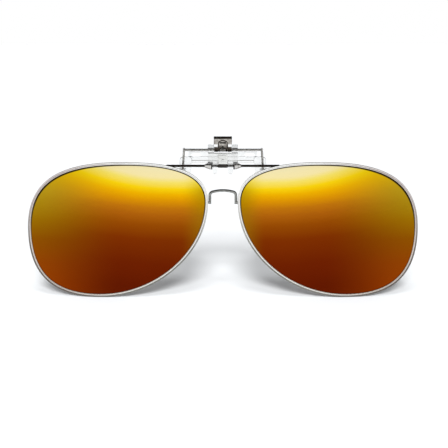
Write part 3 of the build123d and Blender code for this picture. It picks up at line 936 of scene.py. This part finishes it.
# ================================================================ finger levers
# Two stamped steel levers with rolled tops, dark nickel plated.  Pinched together they open the rear
# jaw; the front one hooks on the housing's ears, the rear one is crimped to the jaw wire.
lever_bevel = 0.05 * mm
sheet_front = 1.0 * mm  # front of the stamped sheet from the pivot, square to the sheet
jaw_ring_top = 1.1 * mm  # top of the rings round the jaw wire
lever_lean = math.radians(6.0)
lever_bead_foot = 4.15 * mm  # underside of the rolled top edge, up the sheet from the pivot
lever_darker_heights = (7.6 * mm, 6.2 * mm)  # darker below these
lever_nickel = finish_material(
    "lever_nickel",
    colours=(linear(132, 126, 120), linear(192, 187, 180)),
    roughness=(0.14, 0.26),
    grain=1100.0,
    relief=0.004 * mm,
    settings={"Metallic": 1.0},
)
# the lever darker towards its bottom
darken_along(lever_nickel, "Z", *lever_darker_heights, linear(96, 90, 84))
pivot = Vector(frame["joints"][1]["pos_m"])
front_lever = worked_copy(
    "front_lever", "front_lever_stamping", lever_bevel, lever_nickel, "clip"
)
front_lever.data.materials.append(dark_nickel)
sheet_out = Vector((0, -math.cos(lever_lean), -math.sin(lever_lean)))
sheet_up = Vector((0, -math.sin(lever_lean), math.cos(lever_lean)))
for polygon in front_lever.data.polygons:
    from_pivot = polygon.center - pivot
    raised = from_pivot.dot(sheet_out) > sheet_front
    height = from_pivot.dot(sheet_up)
    if raised or height < jaw_ring_top or height > lever_bead_foot:
        polygon.material_index = 1
worked_copy("rear_lever", "rear_lever_stamping", lever_bevel, dark_nickel, "rear_jaw")

# ================================================================ jaw wire and sleeves
# One nickel plated wire, its straight run in the housing's ears, its legs bent down behind the
# wearer's lenses.  Soft clear silicone sleeves keep the legs from scratching them.
jaw_low, jaw_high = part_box("jaw_wire")
jaw_wire_radius = 0.425 * mm
jaw_corner_x = 14.0 * mm
jaw_bend = 1.2 * mm
sleeve_round = 0.15 * mm

wire_nickel = finish_material(
    "wire_nickel",
    colours=(linear(150, 148, 143), linear(190, 187, 182)),
    roughness=(0.22, 0.34),
    grain=1200.0,
    relief=0.003 * mm,
    settings={"Metallic": 1.0},
)
jaw_foot_x = jaw_high.x - jaw_wire_radius
jaw_leg_y = jaw_high.y - jaw_wire_radius
jaw_half = [
    (jaw_foot_x, jaw_leg_y, jaw_low.z),
    (jaw_corner_x, jaw_leg_y, pivot.z),
    (jaw_corner_x, pivot.y, pivot.z),
]
jaw_points = jaw_half + [(-x, y, z) for x, y, z in jaw_half[::-1]]
jaw = follow_path(
    "jaw_wire_bow",
    jaw_points,
    bent_wire,
    {"Wire radius": jaw_wire_radius, "Finish": wire_nickel},
    bends=(0, jaw_bend, jaw_bend, jaw_bend, jaw_bend, 0),
)
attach(jaw, "rear_jaw")
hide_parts("jaw_wire")

soft_silicone = finish_material(
    "soft_silicone",
    colours=(linear(232, 236, 235), linear(244, 247, 246)),
    roughness=(0.28, 0.42),
    grain=500.0,
    relief=0.010 * mm,
    settings={"IOR": 1.41, "Transmission Weight": 0.85},
)
for word in ("left", "right"):
    worked_copy(
        f"jaw_sleeve_{word}",
        f"jaw_sleeve_{word}_tube",
        sleeve_round,
        soft_silicone,
        "rear_jaw",
        steps=3,
    )

# ================================================================ torsion spring
# Hard drawn steel wire, wound round the jaw wire with one leg against each lever.  The coil winds up
# when the jaw opens.
spring_radius = 0.10 * mm
coil_radius = 0.6 * mm
coil_pitch = 0.3 * mm
coil_turns = 2
spring_leg = 2.6 * mm
front_lean = math.radians(6.0)
rear_lean = math.radians(16.0)
steps_per_turn = 40

coil_angle = 2 * math.pi * coil_turns + math.pi - front_lean - rear_lean
coil_length = coil_pitch * coil_angle / (2 * math.pi)
coil_steps = round(steps_per_turn * coil_angle / (2 * math.pi))
coil_points = []
for step in range(coil_steps + 1):
    share = step / coil_steps
    turn = front_lean + share * coil_angle
    coil_points.append(
        Vector(
            (
                (share - 0.5) * coil_length,
                pivot.y - coil_radius * math.cos(turn),
                pivot.z - coil_radius * math.sin(turn),
            )
        )
    )
front_up = Vector((0, -math.sin(front_lean), math.cos(front_lean)))
rear_up = Vector((0, math.sin(rear_lean), math.cos(rear_lean)))
front_leg_end = coil_points[0] + spring_leg * front_up
rear_leg_end = coil_points[-1] + spring_leg * rear_up
spring_points = [front_leg_end] + coil_points + [rear_leg_end]
spring_wire = finish_material(
    "spring_wire",
    colours=(linear(120, 118, 112), linear(170, 168, 162)),
    roughness=(0.2, 0.32),
    grain=1800.0,
    relief=0.002 * mm,
    settings={"Metallic": 1.0},
)
spring = follow_path(
    "torsion_spring_coil",
    spring_points,
    bent_wire,
    {"Wire radius": spring_radius, "Finish": spring_wire},
    bends=[0.0] * len(spring_points),
)
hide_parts("torsion_spring")
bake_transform(spring)
